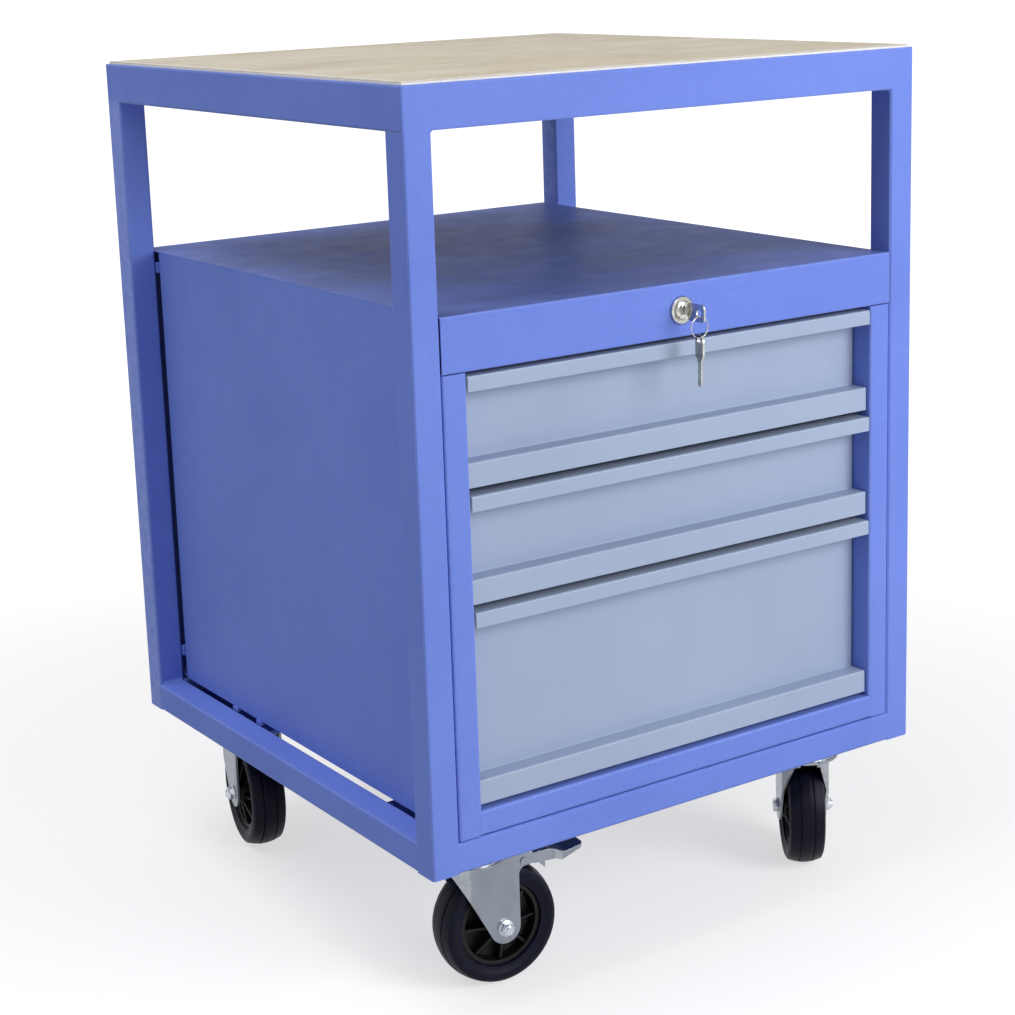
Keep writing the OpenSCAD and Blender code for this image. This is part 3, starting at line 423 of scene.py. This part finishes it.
def split_ring():
    """Two turns of spring wire, side by side, where the CAD has one plain ring."""
    low, high = (Vector(v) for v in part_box("key_ring"))
    cad_wire = (high.y - low.y) / 2
    cad_r = (high.x - low.x) / 2
    # The real ring is smaller than the CAD's; both rest on the lower edge of the key's hole
    wire, smaller, half_key, slack = 0.00038, 0.85, 0.001, 0.00013
    r = cad_r * smaller - wire

    def rise(inner):
        """Height of the key's edge over the centre of a ring with this inner radius."""
        return math.sqrt(inner ** 2 - half_key ** 2)

    mid = (low + high) / 2
    mid.z += rise(cad_r - 2 * cad_wire) - slack - rise(r - wire)
    cu = bpy.data.curves.new("split_ring", "CURVE")
    cu.dimensions = "3D"
    cu.bevel_depth = wire
    cu.bevel_resolution = 4
    cu.use_fill_caps = True
    steps, turns, start, apart, steep = 96, 2.0, math.radians(35), 1.04, 12
    points = []
    for i in range(steps + 1):
        t = i / steps
        a = 2 * math.pi * turns * t + start
        # The first turn lies on one side and the second on the other; the wire steps over between them
        side = max(-1.0, min(1.0, (t - 0.5) * steep))
        points.append((mid.x + r * math.cos(a), mid.y + side * wire * apart, mid.z + r * math.sin(a)))
    add_line(cu, points, closed=False)
    ob = piece("split_ring", cu, "ring", NICKEL)
    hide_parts("key_ring")
    return mid, r, wire


def key_outline(bow_w, bow_l, blade_w, blade_l):
    """A key's outline in millimetres: u to the right, v down from the top of its bow."""
    bow, blade, tip = bow_w / 2, blade_w / 2, bow_l + blade_l
    neck = blade + 0.9
    # The bow's top is half a circle
    steps = 20
    angles = [math.radians(180 + 180 * i / steps) for i in range(steps + 1)]
    outline = [(bow * math.cos(a), bow + bow * math.sin(a)) for a in angles]
    shoulder = [(bow, bow_l - 6.5), (bow - 0.6, bow_l - 3.4), (neck, bow_l - 0.9), (neck, bow_l + 0.6),
                (blade, bow_l + 0.9)]
    outline += shoulder
    # The cuts, each with its own depth
    first, pitch = bow_l + 3.6, 3.6
    for i, depth in enumerate((1.5, 2.3, 0.9, 2.0, 1.3)):
        v = first + i * pitch
        outline += [(blade, v - 1.2), (blade - depth, v), (blade - depth, v + 0.7), (blade, v + 2.0)]
    outline += [(blade - 0.6, tip - 1.4), (0.4, tip), (1.2 - blade, tip - 1.2), (-blade, tip - 3.0)]
    return outline + [(-u, v) for u, v in reversed(shoulder)]


def spare_key(mid, r, wire):
    """The second key hangs from the ring by its hole, at right angles to it."""
    # In millimetres; above is the wall between the bow's top and the hole
    thick, rim, hole, above, slack = 2.0, 0.25, 6.4, 2.8, 0.12
    hole_sides, turned = 28, -11
    cu = bpy.data.curves.new("spare_key", "CURVE")
    cu.dimensions = "2D"
    cu.fill_mode = "BOTH"
    cu.extrude = (thick / 2 - rim) * MM
    cu.bevel_depth = rim * MM
    cu.bevel_resolution = 2
    cu.offset = -rim * MM
    outline = key_outline(bow_w=15.4, bow_l=25.0, blade_w=7.0, blade_l=25.5)
    for line in (outline, circle(0, above + hole / 2, hole / 2, hole_sides, way=-1)):
        add_line(cu, [(u * MM, -v * MM, 0) for u, v in line], closed=True)
    ob = piece("spare_key", cu, "ring", NICKEL)
    # The flat lies across the ring: its face looks along x, and its width runs along y, turned a little
    across = Matrix(((0, 0, 1), (1, 0, 0), (0, 1, 0))).to_4x4()
    turn = Matrix.Rotation(math.radians(turned), 4, "Z") @ across
    # The hole's upper wall rests on the ring's lowest turn
    turn.translation = Vector((mid.x, mid.y, mid.z - r + wire + (slack + above) * MM))
    ob.matrix_world = turn


spare_key(*split_ring())


def screw_spots(reach=0.02):
    """The screws' centres, from the CAD node's mesh: what is within reach of a screw's first point is its."""
    screws = []
    for v in NODES["worktop_screws"].data.vertices:
        at = (v.co.x, v.co.y)
        screw = next((s for s in screws if math.dist(s[0], at) < reach), None)
        if screw:
            screw.append(at)
        else:
            screws.append([at])
    return sorted(tuple(round((min(c) + max(c)) / 2, 5) for c in zip(*screw)) for screw in screws)


def band(bm, a, b):
    """Faces between two closed rows of vertices."""
    for i in range(len(a)):
        j = (i + 1) % len(a)
        bm.faces.new((a[i], a[j], b[j], b[i]))


def flush_screws():
    """Screws with nearly flush heads under the angle iron, each with a cross recess."""
    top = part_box("worktop_screws")[1][2]
    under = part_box("top_angle_front")[0][2]
    head, proud, sunk, shank = 0.0056, 0.0003, 0.0015, 0.0022
    # The cross: half its length and half its width, its depth, and its floor's size as a share of it
    long, wide, deep, taper = 0.0028, 0.000896, 0.0012, 0.6
    head_sides, shank_sides = 32, 16
    cross = [(wide, wide), (wide, long), (-wide, long), (-wide, wide), (-long, wide), (-long, -wide),
             (-wide, -wide), (-wide, -long), (wide, -long), (wide, -wide), (long, -wide), (long, wide)]
    bm = bmesh.new()

    def row(points, z):
        return [bm.verts.new((*at, z)) for at in points]

    for x, y in screw_spots():
        # Each screw has stopped at an angle of its own
        turn = math.radians(17 * (x * 90 + y * 70))
        c, s = math.cos(turn), math.sin(turn)
        turned = [(u * c - v * s, u * s + v * c) for u, v in cross]
        disc = circle(x, y, head, head_sides)
        ring, wall = row(disc, under - proud), row(disc, under + sunk)
        rim = row([(x + u, y + v) for u, v in turned], under - proud)
        pit = row([(x + taper * u, y + taper * v) for u, v in turned], under - proud + deep)
        band(bm, ring, wall)
        band(bm, pit, rim)
        bm.faces.new(pit)
        bm.faces.new(wall)
        # The head's face, between its outline and the cross
        edges = [bm.edges.get(pair) for line in (ring, rim) for pair in zip(line, line[1:] + line[:1])]
        bmesh.ops.triangle_fill(bm, use_beauty=True, edges=edges)
        # The shank stands in the board
        post = circle(x, y, shank, shank_sides)
        low, high = row(post, under + sunk), row(post, top)
        band(bm, low, high)
        bm.faces.new(high)
        bm.faces.new(low[::-1])
    bmesh.ops.recalc_face_normals(bm, faces=bm.faces)
    me = bpy.data.meshes.new("worktop_screw_heads")
    bm.to_mesh(me)
    bm.free()
    ob = piece("worktop_screw_heads", me, "bench", ZINC)
    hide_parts("worktop_screws")


flush_screws()

# Floor, sky and lamps. The floor that is seen has a tone and a glow, the one that lights the object a tone
FLOOR_SEEN, FLOOR_GLOW, FLOOR_LIT = 0.42, 0.62, 0.5
# Where the glow starts to rise and where it is full, in metres from the middle
GLOW_NEAR, GLOW_FAR = 0.7, 2.4
FLOOR_HALF = 30
AMBIENT = 0.36


def seen_flag(tree):
    """1 where the surface is seen straight, in a reflection or through glass."""
    rays = node(tree, "LightPath").outputs
    flag = rays["Is Camera Ray"]
    for other in ("Is Glossy Ray", "Is Transmission Ray"):
        flag = node(tree, "Math", flag, rays[other], operation="MAXIMUM").outputs[0]
    return flag


def floor():
    """A white floor that keeps the shadow."""
    m = bpy.data.materials.new("floor")
    m.use_nodes = True
    t = m.node_tree
    t.nodes.clear()
    # Plain white far from the object; near it, the lamps make up the white and the shadow shows
    away = node(t, "VectorMath", node(t, "TexCoord").outputs["Object"], operation="LENGTH").outputs["Value"]
    rise = node(t, "MapRange", away, GLOW_NEAR, GLOW_FAR, FLOOR_GLOW, 1.0, interpolation_type="SMOOTHSTEP")
    shade = node(t, "BsdfDiffuse", Color=grey(FLOOR_SEEN)).outputs[0]
    glow = node(t, "Emission", Strength=rise.outputs[0]).outputs[0]
    seen = node(t, "AddShader", shade, glow).outputs[0]
    lit = node(t, "BsdfDiffuse", Color=grey(FLOOR_LIT)).outputs[0]
    node(t, "OutputMaterial", node(t, "MixShader", seen_flag(t), lit, seen).outputs[0])
    me = bpy.data.meshes.new("floor")
    s = FLOOR_HALF
    me.from_pydata([(-s, -s, 0), (s, -s, 0), (s, s, 0), (-s, s, 0)], [], [(0, 1, 2, 3)])
    ob = bpy.data.objects.new("floor", me)
    ob.data.materials.append(m)
    bpy.context.scene.collection.objects.link(ob)


def sky():
    """A white sky that lights the object less than it shows."""
    w = bpy.data.worlds.new("world")
    bpy.context.scene.world = w
    w.use_nodes = True
    t = w.node_tree
    level = node(t, "Mix", seen_flag(t), data_type="FLOAT")
    level.inputs[2].default_value = AMBIENT
    level.inputs[3].default_value = 1.0
    background = t.nodes["Background"].inputs
    background["Color"].default_value = grey(1)
    feed(t, background["Strength"], level.outputs[0])


def lamp(name, at, to, size, power):
    data = bpy.data.lights.new(name, "AREA")
    data.shape = "DISK"
    data.size = size
    data.energy = power
    ob = bpy.data.objects.new(name, data)
    ob.location = at
    ob.rotation_euler = (Vector(to) - Vector(at)).to_track_quat("-Z", "Y").to_euler()
    bpy.context.scene.collection.objects.link(ob)


floor()
sky()
lamp("key", at=(0.8, -2.3, 1.3), to=(0, 0, 0.6), size=1.5, power=45)
lamp("top", at=(-1.1, 0.2, 3.3), to=(0, 0, 0.6), size=2.4, power=53)

bpy.context.scene.view_settings.view_transform = "Standard"
bpy.context.view_layer.update()
